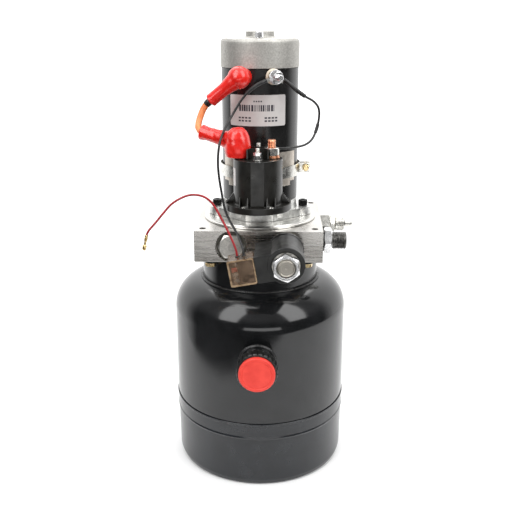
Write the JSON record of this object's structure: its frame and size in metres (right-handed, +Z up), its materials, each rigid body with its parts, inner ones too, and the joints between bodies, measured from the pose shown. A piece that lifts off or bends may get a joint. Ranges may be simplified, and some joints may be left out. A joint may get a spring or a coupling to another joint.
{
  "type": "hydraulic power unit",
  "caption": "Compact electric hydraulic power unit: round steel oil tank, manifold block with solenoid, relief and check valves, gear pump and a vertical direct current motor with start relay.",
  "frame": {"origin": "middle of the tank's underside, on the floor it stands on, on the axis of tank and motor", "axes": "+Z up along the motor and tank axis; the filler cap, the start relay and the solenoid valve face -Y; the hose outlet points to +X"},
  "size_m": [0.2133, 0.229, 0.4665],
  "materials": {
    "tank_paint": "gloss black paint",
    "motor_paint": "satin black paint",
    "aluminium": "machined, brushed",
    "cast_alloy": "die cast, light grey",
    "chrome": "bright plated",
    "steel": "turned",
    "black_steel": "black oxide",
    "yellow_zinc": "yellow zinc plated steel",
    "zinc": "zinc plated",
    "copper": "bare copper",
    "brass": "bright",
    "black_plastic": "moulded",
    "red_plastic": "moulded",
    "red_vinyl": "soft dipped vinyl",
    "orange_cable": "cable sheath",
    "black_wire": "wire insulation",
    "red_wire": "wire insulation",
    "clear_plastic": "smoky clear moulding",
    "rubber": "seal"
  },
  "bodies": {
    "root": {"tank_shell": "tank_paint", "tank_base": "tank_paint", "manifold_block": "aluminium", "cavity_plug": "steel", "outlet_seal": "rubber", "outlet_fitting": "chrome", "relief_valve_body": "zinc", "relief_lock_nut": "zinc", "relief_spring": "steel", "valve_cartridge": "steel", "valve_spring": "steel", "valve_coil": "black_plastic", "coil_nut": "chrome", "valve_connector": "clear_plastic", "tank_bolt_1": "yellow_zinc", "tank_bolt_2": "yellow_zinc", "tank_bolt_3": "yellow_zinc", "tank_bolt_4": "yellow_zinc", "pump_body": "aluminium", "pump_cover": "aluminium", "suction_pipe": "steel", "suction_strainer": "brass", "adapter_disc": "cast_alloy", "motor_flange": "cast_alloy", "flange_screw_left": "black_steel", "flange_screw_right": "black_steel", "motor_housing": "motor_paint", "motor_end_cap": "cast_alloy", "through_bolt_front": "zinc", "through_bolt_rear": "zinc", "motor_terminal_left": "zinc", "motor_terminal_right": "zinc", "lower_bearing": "steel", "brush_ring": "black_plastic", "relay_housing": "black_plastic", "relay_stud_right": "copper", "relay_stud_left": "copper", "relay_coil_stud_front": "zinc", "relay_coil_stud_rear": "zinc", "relay_saddle": "zinc", "band_clamp": "zinc", "upper_boot": "red_vinyl", "lower_boot": "red_vinyl", "battery_cable": "orange_cable", "earth_lead": "black_wire", "relay_lead": "black_wire", "red_lead": "red_wire", "red_lead_terminal": "brass"},
    "rotor": {"armature": "steel", "shaft_coupling": "steel", "drive_gear": "steel"},
    "driven_gear": {"driven_gear": "steel"},
    "filler_seal": {"filler_gasket": "rubber"},
    "filler_cap": {"filler_cap": "black_plastic", "filler_cap_cover": "red_plastic"},
    "valve_plunger": {"valve_plunger": "steel"},
    "check_poppet": {"check_poppet": "steel"},
    "relief_poppet": {"relief_poppet": "steel"},
    "relief_adjuster": {"relief_adjuster": "zinc"},
    "relay_plunger": {"relay_plunger": "copper"}
  },
  "joints": [
    {"name": "rotor_spin", "type": "hinge", "parent": "root", "child": "rotor", "pos_m": [0, 0, 0.35], "axis": [0, 0, 1], "continuous": true},
    {"name": "driven_gear_spin", "type": "hinge", "parent": "root", "child": "driven_gear", "pos_m": [0, 0.03, 0.225], "axis": [0, 0, 1], "continuous": true},
    {"name": "filler_cap_lift", "type": "slide", "parent": "root", "child": "filler_seal", "axis": [0, -1, 0], "range_m": [0, 0.011]},
    {"name": "filler_cap_turn", "type": "hinge", "parent": "filler_seal", "child": "filler_cap", "pos_m": [0, -0.105, 0.146], "axis": [0, -1, 0], "range_deg": [0, 2160]},
    {"name": "valve_plunger_slide", "type": "slide", "parent": "root", "child": "valve_plunger", "axis": [0, -1, 0], "range_m": [0, 0.003], "stiffness_N_per_m": 500, "springref_m": -0.004, "deforming": ["valve_spring"]},
    {"name": "check_poppet_slide", "type": "slide", "parent": "root", "child": "check_poppet", "axis": [0, -1, 0], "range_m": [0, 0.002], "stiffness_N_per_m": 200, "springref_m": -0.004},
    {"name": "relief_poppet_slide", "type": "slide", "parent": "root", "child": "relief_poppet", "axis": [1, 0, 0], "range_m": [0, 0.002], "stiffness_N_per_m": 1000, "springref_m": -0.004, "deforming": ["relief_spring"]},
    {"name": "relief_adjuster_turn", "type": "hinge", "parent": "root", "child": "relief_adjuster", "pos_m": [0.09, 0.027, 0.2597], "axis": [1, 0, 0], "range_deg": [-360, 360]},
    {"name": "relay_plunger_slide", "type": "slide", "parent": "root", "child": "relay_plunger", "axis": [0, 0, 1], "range_m": [0, 0.0035], "stiffness_N_per_m": 300, "springref_m": -0.008}
  ],
  "couplings": [
    {"joint": "driven_gear_spin", "follows": "rotor_spin", "ratio": -1},
    {"joint": "filler_cap_lift", "follows": "filler_cap_turn", "m_per_rad": 0.00028874}
  ]
}
